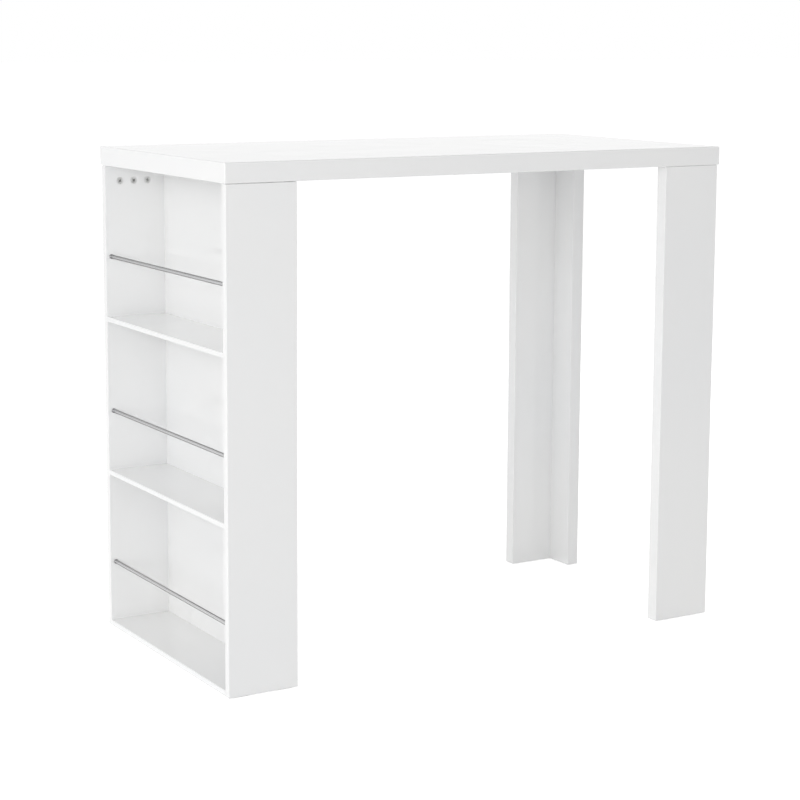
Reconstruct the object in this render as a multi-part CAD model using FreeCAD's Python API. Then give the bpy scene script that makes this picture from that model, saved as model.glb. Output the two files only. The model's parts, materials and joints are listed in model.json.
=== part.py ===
import FreeCAD, Part
import math
import os

# Bar table: a thick top on a shelf unit at its left end and on two L-shaped legs at its right end.
# Millimetres, +Z up. The origin is on the floor, under the middle of the top.
# +X runs from the shelf unit to the legs, and +Y from the front to the back.
# The shelf unit and each leg are glued up from boards. Cam fittings draw the top onto them: a cam
# in an upright's inner face turns on the head of a bolt that is screwed into the underside of the top.
# The cams are the pieces that move.

Vector = FreeCAD.Vector
right_way = Vector(1, 0, 0)
back_way = Vector(0, 1, 0)
up_way = Vector(0, 0, 1)

# The whole table
table_length = 1200.0
table_depth = 600.0
table_height = 1050.0
top_thick = 40.0
overhang = 3.0          # the top's edge stands out this far past the unit and the legs

# The hollow top: two skins on a frame of rails
skin_thick = 12.0
rail_width = 40.0
top_edge_round = 1.8
top_corner_round = 2.0

# The shelf unit
unit_width = 153.0
side_thick = 16.0
back_thick = 16.0
bottom_thick = 12.0
shelf_thick = 10.0
compartments = 3
housing_depth = 5.0     # the shelves stand this deep in grooves in the side panels
housing_stop = 12.0     # the grooves end this far behind the unit's front edge

# The legs
wide_arm = 141.0
narrow_arm = 105.0
leg_thick = 30.0

# The plywood tongues in the glued corners of the unit and of the legs
tongue_thick = 4.0
tongue_in_face = 8.0
tongue_in_edge = 12.0
tongue_stop = 60.0      # from each end of the boards to the tongue

# All glued joints
glue_fit = 0.05
groove_end_gap = 0.5
board_edge_round = 0.8

# The guard rods
rod_radius = 4.0
rod_setback = 12.0      # from the unit's front edge to the rod's axis
rod_rise = 130.0        # from the board below to the rod's axis
rod_end_gap = 0.3
collar_radius = 5.2
collar_length = 3.5

# The floor glides
glide_thick = 1.5
glide_width = 12.0
glide_length = 36.0
glide_inset = 10.0      # from the end of the board

# The cams and their pockets, in the 32 mm drilling system
drill_pitch = 32.0
cam_setback = 34.0      # from the upper end of the board to the cam's axis
pocket_radius = 7.5
pocket_depth = 12.5
cam_fit = 0.08
cam_height = 12.0
cam_sink = 0.2          # how far the cam's face lies below the face of the board
cam_plate = 4.2         # the solid disc behind the cam's face
ramp_open = 6.3         # from the cam's axis to its ramp, beside the mouth
ramp_tight = 5.6        # and where the bolt is drawn tight, half a turn on
ramp_start = 36.0       # degrees from the middle of the mouth
ramp_end = 228.0
ramp_flats = 8
cross_span = 9.0
cross_width = 1.8
cross_depth = 2.4
core_mouth = 4.0        # the square hollow in the middle of the cross, at the cam's face
core_floor = 2.0        # and at its bottom
core_depth = 3.0
cross_turn = 45.0       # degrees from the mark on the rim to an arm of the cross
mark_length = 2.0
mark_width = 2.6
mark_depth = 0.6
mark_to_rim = 0.6

# The cam bolts
bolt_depth = 8.0        # from the face of the board to the bolt's axis
bolt_gap = 0.3          # round the head and the neck, inside the cam
head_radius = 3.3
head_length = 1.4       # the full-width part
head_taper = 1.6        # from the full width down to the neck
neck_radius = 1.9
shank_radius = 3.0
shank_gap = 0.6         # between the shank and the cam's pocket
edge_hole_radius = 4.0
thread_length = 11.0
thread_end_gap = 0.5

# Where the cams sit, and how far past open each one is turned when tight, in degrees
unit_first_cam = 34.5   # from the unit's front edge
wide_arm_cam = 64.0     # from the free edge of the leg's wide arm
narrow_arm_cam = 37.5   # from the inner corner of the leg
unit_cam_turns = (170.0, 180.0, 155.0)
leg_cam_turns = (165.0, 175.0)

overrun = 1.0           # how far a cutter passes through the face that it opens
point_match = 0.01
hidden_flats = 12       # round the bolts and the holes that are out of sight

# Lines that several pieces share
top_under = table_height - top_thick
top_left, top_right = -table_length / 2, table_length / 2
top_front, top_rear = -table_depth / 2, table_depth / 2
unit_left = top_left + overhang
unit_right = unit_left + unit_width
back_inner = unit_right - back_thick
outer_front, outer_rear = top_front + overhang, top_rear - overhang
inner_front, inner_rear = outer_front + side_thick, outer_rear - side_thick
leg_right = top_right - overhang
leg_left = leg_right - wide_arm
narrow_left = leg_right - leg_thick
leg_inner_front = outer_front + leg_thick
upright = (glide_thick, top_under)
cam_level = top_under - cam_setback


def board(xs, ys, zs):
    return Part.makeBox(xs[1] - xs[0], ys[1] - ys[0], zs[1] - zs[0], Vector(xs[0], ys[0], zs[0]))


def edges_at(shape, **place):
    """The edges whose two ends both lie at the given x, y or z."""
    found = []
    for edge in shape.Edges:
        ends = [vertex.Point for vertex in edge.Vertexes]
        if all(abs(getattr(end, axis) - value) < point_match for end in ends for axis, value in place.items()):
            found.append(edge)
    return found


def soften(shape, radius, *places):
    edges = []
    for place in places:
        edges += edges_at(shape, **place)
    return shape.makeFillet(radius, edges)


def mirrored(shape):
    """The same piece on the other side of the table's long centre line."""
    return shape.mirror(Vector(0, 0, 0), back_way)


def disc(start, direction, radius, length):
    return Part.makeCylinder(radius, length, start, direction)


def around(angle, radius, height):
    """A point at an angle and a radius about the Z axis."""
    return Vector(radius * math.cos(math.radians(angle)), radius * math.sin(math.radians(angle)), height)


def prism(points, direction):
    return Part.Face(Part.makePolygon(points + points[:1])).extrude(direction)


def flat_sided(rings):
    """A solid between rings of corners, with flat faces."""
    faces = [Part.Face(Part.makePolygon(ring + ring[:1])) for ring in (rings[0], rings[-1])]
    for ring, beyond in zip(rings, rings[1:]):
        for number in range(len(ring)):
            corners = [ring[number - 1], ring[number], beyond[number], beyond[number - 1]]
            faces.append(Part.Face(Part.makePolygon(corners + corners[:1])))
    return Part.Solid(Part.Shell(faces))


def flat_bore(start, direction, radius, length):
    """A hole that is out of sight in the finished table. Its flats lie at the radius."""
    corner = radius / math.cos(math.pi / hidden_flats)
    shape = prism([around(360 * flat / hidden_flats, corner, 0) for flat in range(hidden_flats)], up_way * length)
    shape.Placement = FreeCAD.Placement(start, FreeCAD.Rotation(up_way, direction))
    return shape


# A cam, with its face at z = 0 and its mouth towards +X. Below the face plate a claw reaches round
# from the mouth. Its inner side is the ramp, and the slot in its middle lets the bolt's neck through.

def ramp_radius(angle):
    share = min(angle, 180) / 180
    return ramp_open + (ramp_tight - ramp_open) * share


def make_cam():
    rim = pocket_radius - cam_fit
    plate = disc(Vector(0, 0, -cam_plate), up_way, rim, cam_plate)
    step = (ramp_end - ramp_start) / ramp_flats
    angles = [ramp_start + step * number for number in range(ramp_flats + 1)]
    flat_to_corner = 1 / math.cos(math.radians(step / 2))
    outer = [around(angle, rim, -cam_height) for angle in angles]
    inner = [around(angle, ramp_radius(angle) * flat_to_corner, -cam_height) for angle in angles]
    claw = prism(outer + inner[::-1], up_way * (cam_height - cam_plate))
    slot_half = neck_radius + bolt_gap
    slot_middle = cam_sink - bolt_depth
    slot = board(
        (-rim - overrun, rim + overrun),
        (-slot_half, rim + overrun),
        (slot_middle - slot_half, slot_middle + slot_half),
    )
    arm = board((-cross_span / 2, cross_span / 2), (-cross_width / 2, cross_width / 2), (-cross_depth, overrun))
    other_arm = arm.copy()
    other_arm.rotate(Vector(0, 0, 0), up_way, 90)
    core = flat_sided([
        [around(45 + 90 * number, side / math.sqrt(2), height) for number in range(4)]
        for side, height in ((core_floor, -core_depth), (core_mouth, 0))
    ])
    cross = arm.fuse([other_arm, core])
    cross.rotate(Vector(0, 0, 0), up_way, cross_turn)
    tip = rim - mark_to_rim
    mark_corners = [
        Vector(tip, 0, -mark_depth),
        Vector(tip - mark_length, mark_width / 2, -mark_depth),
        Vector(tip - mark_length, -mark_width / 2, -mark_depth),
    ]
    mark = prism(mark_corners, up_way * (mark_depth + overrun))
    return plate.fuse(claw.cut(slot)).removeSplitter().cut([cross, mark])


# A bolt whose head sits in a cam. Its axis runs along X, and the board's end is at x = cam_setback.

def bolt_shape(outline):
    """A turned piece on the bolt's axis, from its places along the axis and its radii there."""
    rings = []
    for along, radius in outline:
        rings.append([around(360 * flat / hidden_flats, radius, along) for flat in range(hidden_flats)])
    shape = flat_sided(rings)
    shape.rotate(Vector(0, 0, 0), back_way, 90)
    shape.translate(Vector(0, 0, -bolt_depth))
    return shape


def make_bolt():
    neck_end = math.sqrt((ramp_tight - bolt_gap) ** 2 - neck_radius ** 2)
    head_full = neck_end - head_taper
    shank_start = pocket_radius + shank_gap
    return bolt_shape([
        (head_full - head_length, head_radius),
        (head_full, head_radius),
        (neck_end, neck_radius),
        (shank_start, neck_radius),
        (shank_start, shank_radius),
        (cam_setback + thread_length, shank_radius),
    ])


def make_thread_hole():
    """The thread cuts its own seat in the top, so the hole has the bolt's section."""
    radius = shank_radius + glue_fit
    return bolt_shape([(cam_setback - overrun, radius), (cam_setback + thread_length + thread_end_gap, radius)])


class Fitting:
    """One cam and its bolt, and what the two boards lose to them."""

    def __init__(self, centre, outward, turn):
        axes = FreeCAD.Rotation(up_way, outward.cross(up_way), outward, "ZXY")
        place = FreeCAD.Placement(centre, axes)
        self.cam = make_cam()
        self.cam.rotate(Vector(0, 0, 0), up_way, -turn)
        self.cam.translate(Vector(0, 0, -cam_sink))
        self.bolt = make_bolt()
        pocket = disc(Vector(0, 0, -pocket_depth), up_way, pocket_radius, pocket_depth + overrun)
        edge_hole = flat_bore(Vector(0, 0, -bolt_depth), right_way, edge_hole_radius, cam_setback + overrun)
        self.recess = pocket.fuse(edge_hole)
        self.thread_hole = make_thread_hole()
        for shape in (self.cam, self.bolt, self.recess, self.thread_hole):
            shape.Placement = place.multiply(shape.Placement)


def fittings_on_side(side):
    """The cams at the front (side -1) or at the back (side 1): three in the unit's panel, two in the leg."""
    inward = back_way * -side
    unit_spots = [
        Vector(unit_left + unit_first_cam + drill_pitch * number, side * inner_rear, cam_level)
        for number in range(len(unit_cam_turns))
    ]
    leg_inner = -side * leg_inner_front
    wide_spot = Vector(leg_left + wide_arm_cam, leg_inner, cam_level)
    narrow_spot = Vector(narrow_left, leg_inner - side * narrow_arm_cam, cam_level)
    unit = [Fitting(spot, inward, turn) for spot, turn in zip(unit_spots, unit_cam_turns)]
    wide = Fitting(wide_spot, inward, leg_cam_turns[0])
    narrow = Fitting(narrow_spot, -right_way, leg_cam_turns[1])
    return unit, [wide, narrow]


front_unit_fittings, front_leg_fittings = fittings_on_side(-1)
rear_unit_fittings, rear_leg_fittings = fittings_on_side(1)
fittings = {
    "front_panel": front_unit_fittings,
    "rear_panel": rear_unit_fittings,
    "front_leg": front_leg_fittings,
    "rear_leg": rear_leg_fittings,
}
nodes = {}


def recesses(group):
    return [fitting.recess for fitting in fittings[group]]


# The top

top_box = board((top_left, top_right), (top_front, top_rear), (top_under, table_height))
corner_lines = [{"x": x, "y": y} for x in (top_left, top_right) for y in (top_front, top_rear)]
top_box = soften(top_box, top_corner_round, *corner_lines)
top_outline = soften(top_box, top_edge_round, {"z": top_under}, {"z": table_height})
core = (top_under + skin_thick, table_height - skin_thick)
rail_inner_front, rail_inner_rear = top_front + rail_width, top_rear - rail_width
cross_bar_middle = unit_right - back_thick / 2
full_x = (top_left, top_right)
full_y = (top_front, top_rear)
short_y = (rail_inner_front, rail_inner_rear)
top_pieces = {
    "top_upper_skin": (full_x, full_y, (core[1], table_height)),
    "top_lower_skin": (full_x, full_y, (top_under, core[0])),
    "top_front_rail": (full_x, (top_front, rail_inner_front), core),
    "top_rear_rail": (full_x, (rail_inner_rear, top_rear), core),
    "top_left_rail": ((top_left, top_left + rail_width), short_y, core),
    "top_right_rail": ((top_right - rail_width, top_right), short_y, core),
    "top_cross_bar": ((cross_bar_middle - rail_width / 2, cross_bar_middle + rail_width / 2), short_y, core),
}
for name, (xs, ys, zs) in top_pieces.items():
    nodes[name] = board(xs, ys, zs).common(top_outline)
thread_holes = [fitting.thread_hole for group in fittings.values() for fitting in group]
nodes["top_lower_skin"] = nodes["top_lower_skin"].cut(thread_holes)

# The bottom board and the shelves, which stand in grooves in the side panels

board_thicks = [bottom_thick] + [shelf_thick] * (compartments - 1)
clear_height = (top_under - glide_thick - sum(board_thicks)) / compartments
board_floors = [glide_thick]
for thick in board_thicks[:-1]:
    board_floors.append(board_floors[-1] + thick + clear_height)


def make_shelf(floor, thick):
    shelf = board((unit_left, back_inner), (inner_front, inner_rear), (floor, floor + thick))
    shelf = soften(shelf, board_edge_round, {"x": unit_left, "z": floor}, {"x": unit_left, "z": floor + thick})
    ends = board(
        (unit_left + housing_stop + groove_end_gap, back_inner),
        (inner_front - housing_depth, inner_rear + housing_depth),
        (floor, floor + thick),
    )
    return shelf.fuse(ends).removeSplitter()


def make_housing(floor, thick):
    return board(
        (unit_left + housing_stop, back_inner),
        (inner_front - housing_depth - groove_end_gap, inner_rear + housing_depth + groove_end_gap),
        (floor - glue_fit, floor + thick + glue_fit),
    )


shelf_names = ["bottom_board", "lower_shelf", "upper_shelf"]
for name, floor, thick in zip(shelf_names, board_floors, board_thicks):
    nodes[name] = make_shelf(floor, thick)
housings = [make_housing(floor, thick) for floor, thick in zip(board_floors, board_thicks)]


# The tongues. Each lies across a joint at the front of the table and has its mirror image at the back.

def tongue_along(middle, ys, gap, end_gap):
    return board(
        (middle - tongue_thick / 2 - gap, middle + tongue_thick / 2 + gap),
        (ys[0] - end_gap, ys[1] + end_gap),
        (upright[0] + tongue_stop - end_gap, upright[1] - tongue_stop + end_gap),
    )


unit_tongue_place = (unit_right - back_thick / 2, (inner_front - tongue_in_face, inner_front + tongue_in_edge))
leg_tongue_place = (
    leg_right - leg_thick / 2,
    (leg_inner_front - tongue_in_face, leg_inner_front + tongue_in_edge),
)
unit_groove = tongue_along(*unit_tongue_place, glue_fit, groove_end_gap)
leg_groove = tongue_along(*leg_tongue_place, glue_fit, groove_end_gap)
for name, place in (("unit", unit_tongue_place), ("leg", leg_tongue_place)):
    tongue = tongue_along(*place, 0, 0)
    nodes["front_" + name + "_tongue"] = tongue
    nodes["rear_" + name + "_tongue"] = mirrored(tongue)

# The side panels and the back panel of the unit

side_panel = soften(
    board((unit_left, unit_right), (outer_front, inner_front), upright),
    board_edge_round,
    {"x": unit_left, "y": outer_front},
    {"x": unit_left, "y": inner_front},
    {"x": unit_right, "y": outer_front},
)
side_panel = side_panel.cut(housings + [unit_groove])
nodes["side_panel_front"] = side_panel.cut(recesses("front_panel"))
nodes["side_panel_rear"] = mirrored(side_panel).cut(recesses("rear_panel"))
back_panel = board((back_inner, unit_right), (inner_front, inner_rear), upright)
nodes["unit_back_panel"] = back_panel.cut([unit_groove, mirrored(unit_groove)])

# The guard rods and the collars at their ends

collars = []
rod_names = ["lower_guard_rod", "middle_guard_rod", "upper_guard_rod"]
for name, floor, thick in zip(rod_names, board_floors, board_thicks):
    height = floor + thick + rod_rise
    rod_start = Vector(unit_left + rod_setback, inner_front + rod_end_gap, height)
    rod_length = inner_rear - inner_front - 2 * rod_end_gap
    nodes[name] = disc(rod_start, back_way, rod_radius, rod_length)
    for side in (-1, 1):
        seat = Vector(unit_left + rod_setback, side * inner_rear, height)
        inward = back_way * -side
        bore = flat_bore(seat - inward * overrun, inward, rod_radius + glue_fit, collar_length + 2 * overrun)
        collars.append(disc(seat, inward, collar_radius, collar_length).cut(bore))
nodes["rod_collars"] = Part.makeCompound(collars)

# The legs

wide_board = soften(
    board((leg_left, leg_right), (outer_front, leg_inner_front), upright),
    board_edge_round,
    {"x": leg_left, "y": outer_front},
    {"x": leg_left, "y": leg_inner_front},
    {"x": leg_right, "y": outer_front},
)
narrow_end = outer_front + narrow_arm
narrow_board = soften(
    board((narrow_left, leg_right), (leg_inner_front, narrow_end), upright),
    board_edge_round,
    {"x": narrow_left, "y": narrow_end},
    {"x": leg_right, "y": narrow_end},
)
for name, piece in (("wide_board", wide_board), ("narrow_board", narrow_board)):
    grooved = piece.cut(leg_groove)
    nodes["front_leg_" + name] = grooved.cut(recesses("front_leg"))
    nodes["rear_leg_" + name] = mirrored(grooved).cut(recesses("rear_leg"))

# The cams, each of which turns by itself, and their bolts

for group, members in fittings.items():
    for number, fitting in enumerate(members, 1):
        nodes["cam_{}_{}".format(group, number)] = fitting.cam
    nodes["cam_bolts_" + group] = Part.makeCompound([fitting.bolt for fitting in members])


# The floor glides: thin strips, two under each wide board and one under each narrow arm

def glide_strip(xs, ys):
    """A strip along the longer side of a board's foot, at its middle."""
    middle_x, middle_y = sum(xs) / 2, sum(ys) / 2
    half_x, half_y = glide_length / 2, glide_width / 2
    if ys[1] - ys[0] > xs[1] - xs[0]:
        half_x, half_y = half_y, half_x
    return board((middle_x - half_x, middle_x + half_x), (middle_y - half_y, middle_y + half_y), (0, glide_thick))


glides = []
pad = glide_length + 2 * glide_inset
for left, right, inner in ((unit_left, unit_right, inner_front), (leg_left, leg_right, leg_inner_front)):
    glides.append(glide_strip((left, left + pad), (outer_front, inner)))
    glides.append(glide_strip((right - pad, right), (outer_front, inner)))
glides.append(glide_strip((narrow_left, leg_right), (leg_inner_front, narrow_end)))
glides += [mirrored(glide) for glide in glides]
nodes["floor_glides"] = Part.makeCompound(glides)

os.makedirs("parts", exist_ok=True)
for name, shape in nodes.items():
    shape.exportStep("parts/" + name + ".step")
    print(name, len(shape.Solids), "solid(s)", round(shape.Volume), "mm3")
print(len(nodes), "nodes")
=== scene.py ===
import json
import math

import bmesh
import bpy
from mathutils import Matrix, Vector


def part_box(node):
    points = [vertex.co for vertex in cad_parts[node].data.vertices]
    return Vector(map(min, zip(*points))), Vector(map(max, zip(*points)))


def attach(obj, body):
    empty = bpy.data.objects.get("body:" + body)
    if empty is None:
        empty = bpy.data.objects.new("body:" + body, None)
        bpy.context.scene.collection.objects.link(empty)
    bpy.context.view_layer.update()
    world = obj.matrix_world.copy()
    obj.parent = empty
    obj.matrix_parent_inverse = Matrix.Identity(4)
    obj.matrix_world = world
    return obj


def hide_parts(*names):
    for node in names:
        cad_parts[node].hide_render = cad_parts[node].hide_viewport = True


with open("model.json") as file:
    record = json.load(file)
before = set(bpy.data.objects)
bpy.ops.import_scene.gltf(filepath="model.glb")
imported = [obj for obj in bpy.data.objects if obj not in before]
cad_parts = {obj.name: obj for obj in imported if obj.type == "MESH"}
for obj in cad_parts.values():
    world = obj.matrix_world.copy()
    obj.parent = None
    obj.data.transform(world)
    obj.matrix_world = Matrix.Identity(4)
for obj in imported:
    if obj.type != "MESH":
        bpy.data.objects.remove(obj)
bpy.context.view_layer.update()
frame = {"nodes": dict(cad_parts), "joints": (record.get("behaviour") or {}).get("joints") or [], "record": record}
tableBody = "table"
mm = 0.001
tiny = 0.001 * mm       # points closer than this are one point
slack = 0.1 * mm        # edges closer than this lie on one line

# The bar table's finish: white gloss lacquer on every board, steel guard rods, zinc cams. Metres, Z up,
# the same frame as the construction.


# Node trees: small helpers

def newMaterial(name):
    material = bpy.data.materials.new(name)
    material.use_nodes = True
    tree = material.node_tree
    shader = tree.nodes["Principled BSDF"]
    return material, tree, shader


def addNode(tree, kind, **settings):
    node = tree.nodes.new(kind)
    for key, value in settings.items():
        if key in node.inputs:
            node.inputs[key].default_value = value
        else:
            setattr(node, key, value)
    return node


def objectPattern(tree, stretch=(1, 1, 1)):
    place = addNode(tree, "ShaderNodeTexCoord")
    mapping = addNode(tree, "ShaderNodeMapping", Scale=stretch)
    tree.links.new(place.outputs["Object"], mapping.inputs["Vector"])
    return mapping.outputs["Vector"]


def noiseOn(tree, vector, scale, detail, **more):
    noise = addNode(tree, "ShaderNodeTexNoise", Scale=scale, Detail=detail, **more)
    tree.links.new(vector, noise.inputs["Vector"])
    return noise.outputs["Fac"]


def spread(tree, value, low, high, fromLow=0.3, fromHigh=0.7):
    # maps a noise onto a range of the shader's own units
    mapRange = addNode(tree, "ShaderNodeMapRange")
    limits = {"From Min": fromLow, "From Max": fromHigh, "To Min": low, "To Max": high}
    for key, limit in limits.items():
        mapRange.inputs[key].default_value = limit
    tree.links.new(value, mapRange.inputs["Value"])
    return mapRange.outputs["Result"]


def blendColours(tree, value, first, second):
    # each of the two is a colour or another node's output
    mix = addNode(tree, "ShaderNodeMix", data_type="RGBA")
    ends = [socket for socket in mix.inputs if socket.type == "RGBA"]
    for socket, colour in zip(ends, (first, second)):
        if isinstance(colour, bpy.types.NodeSocket):
            tree.links.new(colour, socket)
        else:
            socket.default_value = (*colour, 1)
    tree.links.new(value, mix.inputs["Factor"])
    return [socket for socket in mix.outputs if socket.type == "RGBA"][0]


def bumpFrom(tree, height, distance, under=None):
    # under is the relief that this one lies on
    bump = addNode(tree, "ShaderNodeBump", Distance=distance)
    tree.links.new(height, bump.inputs["Height"])
    if under:
        tree.links.new(under, bump.inputs["Normal"])
    return bump.outputs["Normal"]


# Materials

lacquer = {
    "white": (0.885, 0.889, 0.892),
    "whiteWarm": (0.9, 0.9, 0.895),
    "ior": 1.5,
    "cloudsPerMetre": 2.2,
    "cloudDetail": 2,
    "roughLow": 0.1,
    "roughHigh": 0.14,
    "coat": 0.6,
    "coatRough": 0.06,
    "peelPerMetre": 420,      # the fine ripple of a sprayed finish, about 2.4 mm across
    "peelHeight": 0.0000035,
    "peelDetail": 1,
    "wavePerMetre": 14,       # the board's own slow waves, seen only in reflections
    "waveHeight": 0.00002,
    "waveDetail": 3,
}


def lacquerMaterial():
    material, tree, shader = newMaterial("whiteLacquer")
    vector = objectPattern(tree)
    clouds = noiseOn(tree, vector, lacquer["cloudsPerMetre"], lacquer["cloudDetail"])
    colour = blendColours(tree, spread(tree, clouds, 0, 1), lacquer["white"], lacquer["whiteWarm"])
    tree.links.new(colour, shader.inputs["Base Color"])
    patches = noiseOn(tree, vector, lacquer["wavePerMetre"], lacquer["waveDetail"])
    rough = spread(tree, patches, lacquer["roughLow"], lacquer["roughHigh"])
    tree.links.new(rough, shader.inputs["Roughness"])
    waves = bumpFrom(tree, patches, lacquer["waveHeight"])
    ripple = noiseOn(tree, vector, lacquer["peelPerMetre"], lacquer["peelDetail"])
    peel = bumpFrom(tree, ripple, lacquer["peelHeight"], waves)
    tree.links.new(peel, shader.inputs["Normal"])
    tree.links.new(peel, shader.inputs["Coat Normal"])
    shader.inputs["IOR"].default_value = lacquer["ior"]
    shader.inputs["Coat Weight"].default_value = lacquer["coat"]
    shader.inputs["Coat Roughness"].default_value = lacquer["coatRough"]
    return material


steel = {
    "grey": (0.74, 0.74, 0.745),
    "greyDark": (0.66, 0.66, 0.665),
    "edge": (0.12, 0.12, 0.12),      # what it mirrors at a glancing angle, so a rod has dark borders
    "roughLow": 0.12,
    "roughHigh": 0.2,
    "grainPerMetre": 2200,
    "grainStretch": (1, 0.02, 1),    # drawn lengthwise along the rods
    "grainHeight": 0.000004,
    "grainDetail": 3,
}
zinc = {
    "grey": (0.8, 0.8, 0.795),
    "greyDark": (0.7, 0.7, 0.695),
    "deep": (0.42, 0.42, 0.41),      # painted shade, in the cross, in the mark and down the sides
    "roughLow": 0.34,
    "roughHigh": 0.5,
    "grainPerMetre": 1400,
    "grainStretch": (1, 1, 1),
    "grainHeight": 0.00001,
    "grainDetail": 3,
}
platedSteel = {
    "grey": (0.62, 0.62, 0.59),
    "greyDark": (0.52, 0.52, 0.5),
    "roughLow": 0.25,
    "roughHigh": 0.4,
    "grainPerMetre": 900,
    "grainStretch": (1, 1, 1),
    "grainHeight": 0.000006,
    "grainDetail": 3,
}


def metalMaterial(name, metal):
    material, tree, shader = newMaterial(name)
    vector = objectPattern(tree, metal["grainStretch"])
    grain = noiseOn(tree, vector, metal["grainPerMetre"], metal["grainDetail"])
    colour = blendColours(tree, spread(tree, grain, 0, 1), metal["greyDark"], metal["grey"])
    # painted shade: darker below the cam's face, in the hollows where shade falls
    if "deep" in metal:
        depth = addNode(tree, "ShaderNodeAttribute", attribute_name="depth").outputs["Fac"]
        colour = blendColours(tree, depth, colour, metal["deep"])
    if "edge" in metal:
        shader.inputs["Specular Tint"].default_value = (*metal["edge"], 1)
    tree.links.new(colour, shader.inputs["Base Color"])
    rough = spread(tree, grain, metal["roughLow"], metal["roughHigh"])
    tree.links.new(rough, shader.inputs["Roughness"])
    tree.links.new(bumpFrom(tree, grain, metal["grainHeight"]), shader.inputs["Normal"])
    shader.inputs["Metallic"].default_value = 1
    return material


woods = {
    "chipboard": {
        "light": (0.66, 0.54, 0.4),
        "dark": (0.4, 0.29, 0.18),
        "perMetre": 260,
        "stretch": (1, 1, 2.5),
        "height": 0.0003,
        "detail": 4,
        "rough": 0.75,
    },
    "plywood": {
        "light": (0.74, 0.6, 0.42),
        "dark": (0.6, 0.45, 0.29),
        "perMetre": 90,
        "stretch": (6, 6, 0.4),
        "height": 0.0001,
        "detail": 4,
        "rough": 0.75,
    },
}
feltPad = {
    "light": (0.86, 0.86, 0.84),
    "dark": (0.74, 0.74, 0.72),
    "perMetre": 1500,
    "height": 0.00015,
    "detail": 4,
    "rough": 0.9,
    "sheen": 0.3,
}


def woodMaterial(name, wood):
    material, tree, shader = newMaterial(name)
    grain = noiseOn(tree, objectPattern(tree, wood["stretch"]), wood["perMetre"], wood["detail"])
    colour = blendColours(tree, spread(tree, grain, 0, 1), wood["dark"], wood["light"])
    tree.links.new(colour, shader.inputs["Base Color"])
    tree.links.new(bumpFrom(tree, grain, wood["height"]), shader.inputs["Normal"])
    shader.inputs["Roughness"].default_value = wood["rough"]
    return material


def feltMaterial():
    material, tree, shader = newMaterial("glideFelt")
    fibre = noiseOn(tree, objectPattern(tree), feltPad["perMetre"], feltPad["detail"])
    colour = blendColours(tree, spread(tree, fibre, 0, 1), feltPad["dark"], feltPad["light"])
    tree.links.new(colour, shader.inputs["Base Color"])
    tree.links.new(bumpFrom(tree, fibre, feltPad["height"]), shader.inputs["Normal"])
    shader.inputs["Roughness"].default_value = feltPad["rough"]
    shader.inputs["Sheen Weight"].default_value = feltPad["sheen"]
    return material


materials = {
    "white_lacquer": lacquerMaterial(),
    "rod_steel": metalMaterial("rodSteel", steel),
    "cam_zinc": metalMaterial("camZinc", zinc),
    "bolt_steel": metalMaterial("boltSteel", platedSteel),
    "chipboard": woodMaterial("chipboard", woods["chipboard"]),
    "plywood": woodMaterial("plywood", woods["plywood"]),
    "glide_felt": feltMaterial(),
}
slotOf = {part["node"]: part["material_slot"] for part in frame["record"]["subparts"]}
print("materials:", len(materials))


# Pieces: shared steps

shading = {
    "boardSharpFrom": 40,      # degrees
    "partSharpFrom": 30,
    "flatWeight": 60,          # of 100, how far the flats hold their own direction
}


def dress(piece, slotName, body, nodes):
    piece.data.materials.clear()
    piece.data.materials.append(materials[slotName])
    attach(piece, body)
    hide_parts(*nodes)
    return piece


def linked(name, mesh):
    piece = bpy.data.objects.new(name, mesh)
    bpy.context.scene.collection.objects.link(piece)
    return piece


def asPlainMesh(piece, name):
    # the result of a piece's modifiers, as a new plain mesh; the piece itself goes
    view = bpy.context.evaluated_depsgraph_get()
    mesh = bpy.data.meshes.new_from_object(piece.evaluated_get(view))
    mesh.name = name
    bpy.data.objects.remove(piece)
    return mesh


def smoothByAngle(mesh, degrees):
    for face in mesh.polygons:
        face.use_smooth = True
    mesh.set_sharp_from_angle(angle=math.radians(degrees))


def keepFlatsFlat(piece):
    # rounded edges shade round, and the flats between them stay flat
    normals = piece.modifiers.new("flatFaces", "WEIGHTED_NORMAL")
    normals.keep_sharp = True
    normals.weight = shading["flatWeight"]


# The cams' places, from the joints

spots = {joint["child"]: (Vector(joint["pos_m"]), Vector(joint["axis"])) for joint in frame["joints"]}
pocket = {
    "radius": 7.5 * mm,
    "depth": 12.5 * mm,
    "lip": 0.45 * mm,         # the lacquer's soft lip round the pocket
    "boltDepth": 8 * mm,
    "boltHole": 4 * mm,
    "overrun": 2 * mm,
    "sides": 96,
    "boltHoleSides": 48,
}


def turned(name, outline, place, sides):
    # a solid of revolution about Z from (radius, height) points, which start and end on the axis and run up
    work = bmesh.new()
    rings = []
    for radius, height in outline:
        count = sides if radius else 1        # on the axis, one corner stands for the whole ring
        angles = [math.tau * number / count for number in range(count)]
        ring = [work.verts.new((radius * math.cos(a), radius * math.sin(a), height)) for a in angles]
        rings.append(ring * (sides // count))
    for lower, upper in zip(rings, rings[1:]):
        for number in range(sides):
            after = (number + 1) % sides
            corners = (lower[number], lower[after], upper[after], upper[number])
            work.faces.new(tuple(dict.fromkeys(corners)))
    mesh = bpy.data.meshes.new(name)
    work.to_mesh(mesh)
    work.free()
    mesh.transform(place)
    return mesh


def facing(spot, outward):
    # the place of a fitting whose face looks along outward, with the board's end overhead
    across = Vector((0, 0, 1)).cross(outward)
    turn = Matrix((across, Vector((0, 0, 1)), outward)).transposed().to_4x4()
    return Matrix.Translation(spot) @ turn


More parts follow.
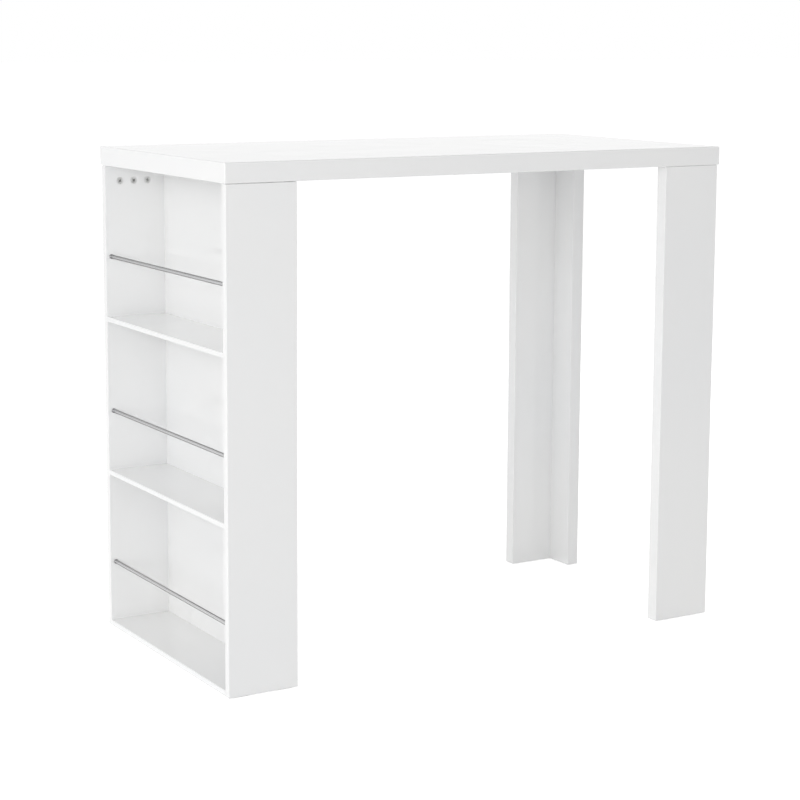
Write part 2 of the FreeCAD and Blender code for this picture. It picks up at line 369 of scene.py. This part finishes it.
def pocketCutters(board, low, high):
    cutters = []
    for spot, outward in spots.values():
        inside = all(low[k] - mm < spot[k] < high[k] + mm for k in range(3))
        if not inside:
            continue
        outline = [
            (0, -pocket["depth"]),
            (pocket["radius"], -pocket["depth"]),
            (pocket["radius"], -pocket["lip"]),
            (pocket["radius"] + pocket["lip"], 0),
            (pocket["radius"] + pocket["lip"], pocket["overrun"]),
            (0, pocket["overrun"]),
        ]
        cutter = turned("pocket", outline, facing(spot, outward), pocket["sides"])
        cutters.append(linked(board + "Pocket", cutter))
        boltLine = spot - outward * pocket["boltDepth"]
        reach = high.z - spot.z + pocket["overrun"]
        hole = [(0, 0), (pocket["boltHole"], 0), (pocket["boltHole"], reach), (0, reach)]
        cutter = turned("boltHole", hole, Matrix.Translation(boltLine), pocket["boltHoleSides"])
        cutters.append(linked(board + "BoltHole", cutter))
    return cutters


boards = {
    "edgeRound": 0.8 * mm,
    "edgeSteps": 5,
    "footEase": 0.3 * mm,       # the barely broken edges of a foot
    "headEase": 1.9 * mm,       # round the outer upper edges, beside the hairline under the top
    "topRound": 1.8 * mm,
    "topCorner": 2.0 * mm,
}


def roundedBoard(name, low, high, radiusOf, cutters=()):
    # radiusOf gives each edge's rounding from the edge's middle point and its direction
    work = bmesh.new()
    size = high - low
    place = Matrix.Translation((low + high) / 2) @ Matrix.Diagonal((*size, 1))
    bmesh.ops.create_cube(work, size=1, matrix=place)
    weights = work.edges.layers.float.new("bevel_weight_edge")
    largest = boards["topCorner"]
    for edge in work.edges:
        first, second = (vertex.co for vertex in edge.verts)
        axis = max(range(3), key=lambda k: abs(second[k] - first[k]))
        edge[weights] = radiusOf((first + second) / 2, axis) / largest
    mesh = bpy.data.meshes.new(name)
    work.to_mesh(mesh)
    work.free()
    rough = linked(name + "Rough", mesh)
    bevel = rough.modifiers.new("rounding", "BEVEL")
    bevel.limit_method = "WEIGHT"
    bevel.width = largest
    bevel.segments = boards["edgeSteps"]
    for cutter in cutters:
        cut = rough.modifiers.new("pocket", "BOOLEAN")
        cut.operation = "DIFFERENCE"
        cut.solver = "EXACT"
        cut.object = cutter
    finished = linked(name, asPlainMesh(rough, name))
    for cutter in cutters:
        bpy.data.objects.remove(cutter)
    smoothByAngle(finished.data, shading["boardSharpFrom"])
    keepFlatsFlat(finished)
    return finished


def nearly(first, second):
    return abs(first - second) < slack


# The top: one seamless slab over its skins and rails

def makeTop():
    skins = [
        "top_upper_skin", "top_lower_skin",
        "top_front_rail", "top_rear_rail", "top_left_rail", "top_right_rail",
    ]
    low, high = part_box("top_lower_skin")[0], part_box("top_upper_skin")[1]

    def rounding(middle, axis):
        return boards["topCorner"] if axis == 2 else boards["topRound"]

    slab = roundedBoard("tableTop", low, high, rounding)
    return dress(slab, "white_lacquer", tableBody, skins)


# The upright boards. Long edges that show are rounded, and the ends are only eased. Each row holds the
# piece's name, its rounded edges and the hairline between the board's end and the top.

uprights = {
    "side_panel_front": ("unitFrontPanel", ("left front", "left rear", "right front"), 0.8 * mm),
    "side_panel_rear": ("unitRearPanel", ("left front", "left rear", "right rear"), 0.8 * mm),
    "unit_back_panel": ("unitBackPanel", (), 0),
    "front_leg_wide_board": ("frontLegWideBoard", ("left front", "left rear", "right front"), 0.3 * mm),
    "rear_leg_wide_board": ("rearLegWideBoard", ("left front", "left rear", "right rear"), 0.3 * mm),
    "front_leg_narrow_board": ("frontLegNarrowBoard", ("left rear", "right rear"), 0.3 * mm),
    "rear_leg_narrow_board": ("rearLegNarrowBoard", ("left front", "right front"), 0.3 * mm),
}
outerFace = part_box("side_panel_rear")[1].y
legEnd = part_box("rear_leg_wide_board")[1].x


def makeUpright(node):
    name, roundedEdges, hairline = uprights[node]
    low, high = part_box(node)
    high.z -= hairline

    def rounding(middle, axis):
        if axis != 2:
            outside = nearly(abs(middle.y), outerFace) or nearly(middle.x, legEnd)
            return boards["headEase"] if outside and nearly(middle.z, high.z) else boards["footEase"]
        side = "left" if nearly(middle.x, low.x) else "right"
        face = "front" if nearly(middle.y, low.y) else "rear"
        return boards["edgeRound"] if side + " " + face in roundedEdges else 0

    board = roundedBoard(name, low, high, rounding, pocketCutters(name, low, high))
    return dress(board, "white_lacquer", tableBody, [node])


# The shelves, between the panels. Their ends stand in the panels' grooves, out of sight.

shelves = {"bottom_board": "bottomBoard", "lower_shelf": "lowerShelf", "upper_shelf": "upperShelf"}


def makeShelf(node):
    low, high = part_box(node)
    low.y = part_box("side_panel_front")[1].y
    high.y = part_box("side_panel_rear")[0].y

    def rounding(middle, axis):
        return boards["edgeRound"] if axis == 1 and nearly(middle.x, low.x) else 0

    shelf = roundedBoard(shelves[node], low, high, rounding)
    return dress(shelf, "white_lacquer", tableBody, [node])


makeTop()
for node in uprights:
    makeUpright(node)
for node in shelves:
    makeShelf(node)
print("boards:", 1 + len(uprights) + len(shelves))


# The guard rods: drawn steel, with a small chamfer at each end

rodNodes = {
    "lower_guard_rod": "lowerGuardRod",
    "middle_guard_rod": "middleGuardRod",
    "upper_guard_rod": "upperGuardRod",
}
rods = {"sides": 64, "chamfer": 0.3 * mm}
alongY = Matrix.Rotation(math.radians(-90), 4, "X")


def makeRod(node):
    low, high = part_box(node)
    centre = (low + high) / 2
    radius, length = (high.z - low.z) / 2, high.y - low.y
    chamfer = rods["chamfer"]
    outline = [
        (0, 0), (radius - chamfer, 0), (radius, chamfer),
        (radius, length - chamfer), (radius - chamfer, length), (0, length),
    ]
    place = Matrix.Translation((centre.x, low.y, centre.z)) @ alongY
    rod = linked(rodNodes[node], turned(rodNodes[node], outline, place, rods["sides"]))
    smoothByAngle(rod.data, shading["partSharpFrom"])
    return dress(rod, "rod_steel", tableBody, [node])


for node in rodNodes:
    makeRod(node)
print("guard rods:", len(rodNodes))


# What repeats: small node trees with their sizes as inputs, set out on a mesh of places

def newTree(name, sizes):
    tree = bpy.data.node_groups.new(name, "GeometryNodeTree")
    sockets = tree.interface
    sockets.new_socket("Places", in_out="INPUT", socket_type="NodeSocketGeometry")
    for label, size in sizes.items():
        kind = "NodeSocketInt" if isinstance(size, int) else "NodeSocketFloat"
        sockets.new_socket(label, in_out="INPUT", socket_type=kind)
    sockets.new_socket("Finish", in_out="INPUT", socket_type="NodeSocketMaterial")
    sockets.new_socket("Geometry", in_out="OUTPUT", socket_type="NodeSocketGeometry")
    return tree, tree.nodes.new("NodeGroupInput").outputs


def feed(tree, socket, value):
    if isinstance(value, bpy.types.NodeSocket):
        tree.links.new(value, socket)
    else:
        socket.default_value = value


def step(tree, kind, inputs=None, **settings):
    node = tree.nodes.new(kind)
    for key, value in settings.items():
        setattr(node, key, value)
    for key, value in (inputs or {}).items():
        feed(tree, node.inputs[key], value)
    return node.outputs[0]


def sums(tree, operation, *values):
    node = tree.nodes.new("ShaderNodeMath")
    node.operation = operation
    for socket, value in zip(node.inputs, values):
        feed(tree, socket, value)
    return node.outputs[0]


def ramp(tree, value, start, end, first, last):
    names = ("Value", "From Min", "From Max", "To Min", "To Max")
    return step(tree, "ShaderNodeMapRange", dict(zip(names, (value, start, end, first, last))))


def setOut(tree, given, shape, rotation):
    # an instance of the shape on each place, realized, in its finish
    placed = step(tree, "GeometryNodeInstanceOnPoints", {
        "Points": given["Places"], "Instance": shape, "Rotation": rotation,
    })
    real = step(tree, "GeometryNodeRealizeInstances", {"Geometry": placed})
    finished = step(tree, "GeometryNodeSetMaterial", {"Geometry": real, "Material": given["Finish"]})
    tree.links.new(finished, tree.nodes.new("NodeGroupOutput").inputs["Geometry"])


def growOnPlaces(name, tree, sizes, slotName, places, nodes, turns=()):
    mesh = bpy.data.meshes.new(name + "Places")
    mesh.from_pydata(places, [], [])
    turn = mesh.attributes.new("turn", "FLOAT", "POINT")
    for number, angle in enumerate(turns):
        turn.data[number].value = angle
    rough = linked(name + "Rough", mesh)
    modifier = rough.modifiers.new(name, "NODES")
    modifier.node_group = tree
    values = {**sizes, "Finish": materials[slotName]}
    for socket in tree.interface.items_tree:
        if socket.in_out == "INPUT" and socket.name in values:
            modifier[socket.identifier] = values[socket.name]
    piece = linked(name, asPlainMesh(rough, name))
    smoothByAngle(piece.data, shading["partSharpFrom"])
    return dress(piece, slotName, tableBody, nodes)


# The cam bolts: a head that tapers to the neck inside the cam, and a coarse thread in the top

bolts = {
    "Head Radius": 3.3 * mm,
    "Head Length": 1.4 * mm,
    "Head Taper": 1.6 * mm,
    "Neck Radius": 1.9 * mm,
    "Neck Length": 3.15 * mm,
    "Shank Radius": 3.0 * mm,
    "Bolt Length": 43.05 * mm,
    "Thread Length": 11.0 * mm,
    "Thread Pitch": 1.8 * mm,
    "Thread Depth": 0.75 * mm,
    "Thread Root": 0.3,            # the flat share of the valley between two ridges
    "Point Length": 1.6 * mm,
    "Point Size": 0.4,             # of the shank
    "Edge": 0.3 * mm,
    "Sides": 24,
    "Rings": 150,
    "Seed": 7,
}
boltNodes = [node for node in frame["nodes"] if node.startswith("cam_bolts")]


def boltTree():
    tree, given = newTree("camBolt", bolts)

    def calc(operation, *values):
        return sums(tree, operation, *values)

    grid = step(tree, "GeometryNodeMeshGrid", {
        "Size X": 1.0, "Size Y": 1.0,
        "Vertices X": calc("ADD", given["Sides"], 1), "Vertices Y": given["Rings"],
    })
    at = tree.nodes.new("ShaderNodeSeparateXYZ")
    tree.links.new(step(tree, "GeometryNodeInputPosition"), at.inputs[0])
    angle = calc("MULTIPLY", calc("ADD", at.outputs["X"], 0.5), math.tau)
    share = calc("ADD", at.outputs["Y"], 0.5)
    # the first and the last ring close the ends, so they lie on the axis
    gap = calc("DIVIDE", 1, calc("SUBTRACT", given["Rings"], 1))
    height = ramp(tree, share, gap, calc("SUBTRACT", 1, gap), 0, given["Bolt Length"])
    halfGap = calc("MULTIPLY", gap, 0.5)
    pastStart = calc("GREATER_THAN", share, halfGap)
    beforeEnd = calc("LESS_THAN", share, calc("SUBTRACT", 1, halfGap))
    closed = calc("MULTIPLY", pastStart, beforeEnd)
    # the head and its taper, the neck, the step out to the shank
    taperEnd = calc("ADD", given["Head Length"], given["Head Taper"])
    neckEnd = calc("ADD", taperEnd, given["Neck Length"])
    head = ramp(tree, height, given["Head Length"], taperEnd, given["Head Radius"], given["Neck Radius"])
    eased = ramp(tree, height, 0, given["Edge"], calc("MULTIPLY", given["Edge"], -1), 0)
    stepOut = calc("SUBTRACT", given["Shank Radius"], given["Neck Radius"])
    shoulder = ramp(tree, height, neckEnd, calc("ADD", neckEnd, given["Edge"]), 0, stepOut)
    plain = calc("ADD", calc("ADD", head, eased), shoulder)
    # the thread: a ridge that climbs one pitch in each turn and runs out on the shank
    climb = calc("DIVIDE", height, given["Thread Pitch"])
    phase = calc("FRACT", calc("ADD", climb, calc("DIVIDE", angle, math.tau)))
    ridge = calc("PINGPONG", calc("MULTIPLY", phase, 2), 1)
    valley = ramp(tree, ridge, given["Thread Root"], 1, given["Thread Depth"], 0)
    threadStart = calc("SUBTRACT", given["Bolt Length"], given["Thread Length"])
    runOut = ramp(tree, height, threadStart, calc("ADD", threadStart, given["Thread Pitch"]), 0, 1)
    pointStart = calc("SUBTRACT", given["Bolt Length"], given["Point Length"])
    point = ramp(tree, height, pointStart, given["Bolt Length"], 1, given["Point Size"])
    threaded = calc("SUBTRACT", plain, calc("MULTIPLY", valley, runOut))
    radius = calc("MULTIPLY", threaded, calc("MULTIPLY", point, closed))
    place = step(tree, "ShaderNodeCombineXYZ", {
        "X": calc("MULTIPLY", radius, calc("COSINE", angle)),
        "Y": calc("MULTIPLY", radius, calc("SINE", angle)),
        "Z": height,
    })
    wrapped = step(tree, "GeometryNodeSetPosition", {"Geometry": grid, "Position": place})
    whole = step(tree, "GeometryNodeMergeByDistance", {"Geometry": wrapped, "Distance": tiny})
    anyTurn = step(
        tree, "FunctionNodeRandomValue", {"Max": (0, 0, math.tau), "Seed": given["Seed"]},
        data_type="FLOAT_VECTOR",
    )
    setOut(tree, given, whole, step(tree, "FunctionNodeEulerToRotation", {"Euler": anyTurn}))
    return tree


def makeBolts():
    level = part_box(boltNodes[0])[0].z
    places = []
    for spot, outward in spots.values():
        axis = spot - outward * pocket["boltDepth"]
        places.append((axis.x, axis.y, level))
    growOnPlaces("camBolts", boltTree(), bolts, "bolt_steel", places, boltNodes)


# The collars round the rods' ends: rings with broken edges

collars = {
    "Collar Radius": 5.2 * mm,
    "Bore Radius": 4.05 * mm,
    "Collar Length": 3.5 * mm,
    "Edge": 0.35 * mm,
    "Edge Steps": 3,
    "Sides": 64,
}


def collarTree():
    tree, given = newTree("rodCollar", collars)
    wall = sums(tree, "SUBTRACT", given["Collar Radius"], given["Bore Radius"])
    middle = sums(tree, "ADD", given["Bore Radius"], sums(tree, "MULTIPLY", wall, 0.5))
    section = step(
        tree, "GeometryNodeCurvePrimitiveQuadrilateral", {"Width": wall, "Height": given["Collar Length"]},
    )
    soft = step(tree, "GeometryNodeFilletCurve", {
        "Curve": section, "Count": given["Edge Steps"], "Radius": given["Edge"], "Limit Radius": True,
    }, mode="POLY")
    circle = step(
        tree, "GeometryNodeCurvePrimitiveCircle", {"Resolution": given["Sides"], "Radius": middle},
    )
    ring = step(tree, "GeometryNodeCurveToMesh", {"Curve": circle, "Profile Curve": soft})
    lying = step(tree, "FunctionNodeEulerToRotation", {"Euler": (math.radians(90), 0, 0)})
    setOut(tree, given, ring, lying)
    return tree


def makeCollars():
    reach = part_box("side_panel_rear")[0].y - collars["Collar Length"] / 2
    places = []
    for node in rodNodes:
        low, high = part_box(node)
        middle = (low + high) / 2
        places += [(middle.x, side * reach, middle.z) for side in (-1, 1)]
    growOnPlaces("rodCollars", collarTree(), collars, "rod_steel", places, ["rod_collars"])


# The floor glides: thin pads with rounded ends

glides = {
    "Glide Length": 36.0 * mm,
    "Glide Width": 12.0 * mm,
    "Glide Thickness": 1.5 * mm,
    "Corner Radius": 3.0 * mm,
    "Corner Steps": 6,
}


def glideTree():
    tree, given = newTree("floorGlide", glides)
    outline = step(
        tree, "GeometryNodeCurvePrimitiveQuadrilateral",
        {"Width": given["Glide Length"], "Height": given["Glide Width"]},
    )
    soft = step(tree, "GeometryNodeFilletCurve", {
        "Curve": outline, "Count": given["Corner Steps"],
        "Radius": given["Corner Radius"], "Limit Radius": True,
    }, mode="POLY")
    rise = step(tree, "ShaderNodeCombineXYZ", {"Z": given["Glide Thickness"]})
    line = step(tree, "GeometryNodeCurvePrimitiveLine", {"End": rise})
    pad = step(tree, "GeometryNodeCurveToMesh", {"Curve": line, "Profile Curve": soft, "Fill Caps": True})
    turn = step(tree, "GeometryNodeInputNamedAttribute", {"Name": "turn"}, data_type="FLOAT")
    about = step(tree, "ShaderNodeCombineXYZ", {"Z": turn})
    setOut(tree, given, pad, step(tree, "FunctionNodeEulerToRotation", {"Euler": about}))
    return tree


def islandBoxes(mesh):
    # the low and high corner of each loose part of a mesh
    work = bmesh.new()
    work.from_mesh(mesh)
    bmesh.ops.remove_doubles(work, verts=work.verts, dist=tiny)
    found, seen = [], set()
    for start in work.verts:
        if start in seen:
            continue
        seen.add(start)
        group, queue = [], [start]
        while queue:
            vertex = queue.pop()
            group.append(vertex.co.copy())
            for edge in vertex.link_edges:
                beyond = edge.other_vert(vertex)
                if beyond not in seen:
                    seen.add(beyond)
                    queue.append(beyond)
        low = Vector(min(co[k] for co in group) for k in range(3))
        high = Vector(max(co[k] for co in group) for k in range(3))
        found.append((low, high))
    work.free()
    return found


def makeGlides():
    places, turns = [], []
    for low, high in islandBoxes(frame["nodes"]["floor_glides"].data):
        middle = (low + high) / 2
        places.append((middle.x, middle.y, low.z))
        turns.append(0.0 if high.x - low.x > high.y - low.y else math.radians(90))
    growOnPlaces("floorGlides", glideTree(), glides, "glide_felt", places, ["floor_glides"], turns)
    return len(places)


makeBolts()
makeCollars()
glideCount = makeGlides()
print("repeats:", len(spots), "bolts,", 2 * len(rodNodes), "collars,", glideCount, "glides")

# The cams: each one from its own CAD shape, with its cast edges softened

cams = {
    "edge": 0.3 * mm,
    "steps": 2,
    "sharpFrom": 35,           # degrees
    "flatWithin": 1,           # degrees between two triangles of one face
    "darkFrom": 0.5 * mm,      # below the face this deep, the zinc takes its full painted shade
}


def markPaintedShade(mesh, spot, outward):
    # 0 on the cam's face, 1 below it, for the material's painted shade in the hollows
    face = max((vertex.co - spot).dot(outward) for vertex in mesh.vertices)
    depth = mesh.attributes.new("depth", "FLOAT", "POINT")
    for vertex in mesh.vertices:
        below = face - (vertex.co - spot).dot(outward)
        depth.data[vertex.index].value = min(1.0, below / cams["darkFrom"])


def makeCam(node):
    source = frame["nodes"][node]
    mesh = source.data.copy()
    work = bmesh.new()
    work.from_mesh(mesh)
    bmesh.ops.remove_doubles(work, verts=work.verts, dist=tiny)
    bmesh.ops.dissolve_limit(
        work, angle_limit=math.radians(cams["flatWithin"]), verts=work.verts, edges=work.edges,
    )
    work.to_mesh(mesh)
    work.free()
    rough = linked(node + "Rough", mesh)
    bevel = rough.modifiers.new("castEdges", "BEVEL")
    bevel.limit_method = "ANGLE"
    bevel.angle_limit = math.radians(cams["sharpFrom"])
    bevel.width = cams["edge"]
    bevel.segments = cams["steps"]
    words = node.split("_")
    name = words[0] + "".join(word.capitalize() for word in words[1:])
    cam = linked(name, asPlainMesh(rough, name))
    markPaintedShade(cam.data, *spots[node])
    smoothByAngle(cam.data, cams["sharpFrom"])
    keepFlatsFlat(cam)
    return dress(cam, "cam_zinc", node, [node])


for node in spots:
    makeCam(node)
print("cams:", len(spots))

# The CAD nodes. Those that no piece replaces are out of sight: the top's cross bar and the glued tongues.

for node, piece in frame["nodes"].items():
    piece.data.materials.clear()
    piece.data.materials.append(materials[slotOf[node]])


# The studio: a pale floor, soft boxes and a white surround

studio = {
    "floorHalf": 60,
    "floorGrey": 0.86,
    "floorRough": 0.9,
    "floorLift": 0.62,         # what is seen on top of the lit floor, to reach white
    "backdrop": 1.0,
    "surround": 0.4,           # the level from every side
    "leftWall": 0.68,          # and what the pale wall on the left adds
}
softBoxes = {
    "frontLeftBox": {
        "size": (2.5, 2.5), "place": (-5.0, -3.2, 1.8), "aim": (0, 0, 0.6),
        "power": 100, "mirrored": True,
    },
    "frontBox": {
        "size": (2.0, 2.0), "place": (-0.8, -5.5, 1.0), "aim": (0, 0, 0.6),
        "power": 26, "mirrored": False,
    },
    "rightBox": {
        "size": (2.0, 2.0), "place": (3.8, 0.55, 1.1), "aim": (-0.4, 0, 0.6),
        "power": 48, "mirrored": False,
    },
    "rearBox": {
        "size": (2.5, 2.0), "place": (0.6, 4.2, 1.9), "aim": (0, 0, 0.6),
        "power": 39, "mirrored": False,
    },
}


def seenDirectly(tree):
    # 1 for what the camera, a mirror-like surface or clear glass looks at
    path = addNode(tree, "ShaderNodeLightPath")
    first = addNode(tree, "ShaderNodeMath", operation="MAXIMUM")
    second = addNode(tree, "ShaderNodeMath", operation="MAXIMUM")
    tree.links.new(path.outputs["Is Camera Ray"], first.inputs[0])
    tree.links.new(path.outputs["Is Glossy Ray"], first.inputs[1])
    tree.links.new(first.outputs[0], second.inputs[0])
    tree.links.new(path.outputs["Is Transmission Ray"], second.inputs[1])
    return second.outputs[0]


def makeFloor():
    half = studio["floorHalf"]
    mesh = bpy.data.meshes.new("studioFloor")
    corners = [(-half, -half, 0), (half, -half, 0), (half, half, 0), (-half, half, 0)]
    mesh.from_pydata(corners, [], [(0, 1, 2, 3)])
    floor = linked("studioFloor", mesh)
    material, tree, shader = newMaterial("paleFloor")
    grey = studio["floorGrey"]
    shader.inputs["Base Color"].default_value = (grey, grey, grey, 1)
    shader.inputs["Roughness"].default_value = studio["floorRough"]
    shader.inputs["Specular IOR Level"].default_value = 0.0
    lift = addNode(tree, "ShaderNodeMath", operation="MULTIPLY")
    lift.inputs[1].default_value = studio["floorLift"]
    tree.links.new(seenDirectly(tree), lift.inputs[0])
    shader.inputs["Emission Color"].default_value = (1, 1, 1, 1)
    tree.links.new(lift.outputs[0], shader.inputs["Emission Strength"])
    mesh.materials.append(material)


def makeSurround():
    world = bpy.data.worlds.new("surround")
    bpy.context.scene.world = world
    world.use_nodes = True
    tree = world.node_tree
    background = tree.nodes["Background"]
    background.inputs["Color"].default_value = (1, 1, 1, 1)
    side = addNode(tree, "ShaderNodeVectorMath", operation="DOT_PRODUCT")
    side.inputs[1].default_value = (-1, 0, 0)
    tree.links.new(addNode(tree, "ShaderNodeTexCoord").outputs["Generated"], side.inputs[0])
    lit = addNode(tree, "ShaderNodeMapRange")
    level = addNode(tree, "ShaderNodeMapRange")
    lit.inputs["To Min"].default_value = studio["surround"]
    lit.inputs["To Max"].default_value = studio["surround"] + studio["leftWall"]
    level.inputs["To Max"].default_value = studio["backdrop"]
    tree.links.new(side.outputs["Value"], lit.inputs["Value"])
    tree.links.new(lit.outputs["Result"], level.inputs["To Min"])
    tree.links.new(seenDirectly(tree), level.inputs["Value"])
    tree.links.new(level.outputs["Result"], background.inputs["Strength"])


def makeSoftBox(name):
    box = softBoxes[name]
    lamp = bpy.data.lights.new(name, "AREA")
    lamp.shape = "RECTANGLE"
    lamp.size, lamp.size_y = box["size"]
    lamp.energy = box["power"]
    lampObject = linked(name, lamp)
    place, aim = Vector(box["place"]), Vector(box["aim"])
    lampObject.location = place
    lampObject.rotation_euler = (aim - place).to_track_quat("-Z", "Y").to_euler()
    lampObject.visible_camera = False
    lampObject.visible_glossy = box["mirrored"]


makeFloor()
makeSurround()
for name in softBoxes:
    makeSoftBox(name)
print("studio:", len(softBoxes), "soft boxes")

# The camera, worked out from the straight edges in the photograph

camera = {
    "place": (-2.3108, -3.774, 1.3082),
    "yaw": 31.13,               # degrees from +Y towards +X
    "pitch": 8.19,              # degrees down
    "roll": -0.304,
    "framePx": 800,
    "focalPx": 2049.2,
    "axisRowPx": 320,           # the picture row that the lens looks straight at
    "sensor": 36,
    "clip": (0.05, 200),
}


def makeCamera():
    yaw, pitch, roll = (math.radians(camera[key]) for key in ("yaw", "pitch", "roll"))
    level = math.cos(pitch)
    forward = Vector((math.sin(yaw) * level, math.cos(yaw) * level, -math.sin(pitch)))
    right = Vector((math.cos(yaw), -math.sin(yaw), 0))
    down = forward.cross(right)
    rolledRight = right * math.cos(roll) + down * math.sin(roll)
    rolledUp = right * math.sin(roll) - down * math.cos(roll)
    lens = bpy.data.cameras.new("camera")
    lens.sensor_width = camera["sensor"]
    lens.lens = camera["focalPx"] / camera["framePx"] * camera["sensor"]
    lens.shift_y = camera["axisRowPx"] / camera["framePx"] - 0.5
    lens.clip_start, lens.clip_end = camera["clip"]
    view = linked("camera", lens)
    turn = Matrix((rolledRight, rolledUp, -forward)).transposed().to_4x4()
    view.matrix_world = Matrix.Translation(camera["place"]) @ turn
    bpy.context.scene.camera = view


makeCamera()
bpy.context.scene.view_settings.view_transform = "Standard"
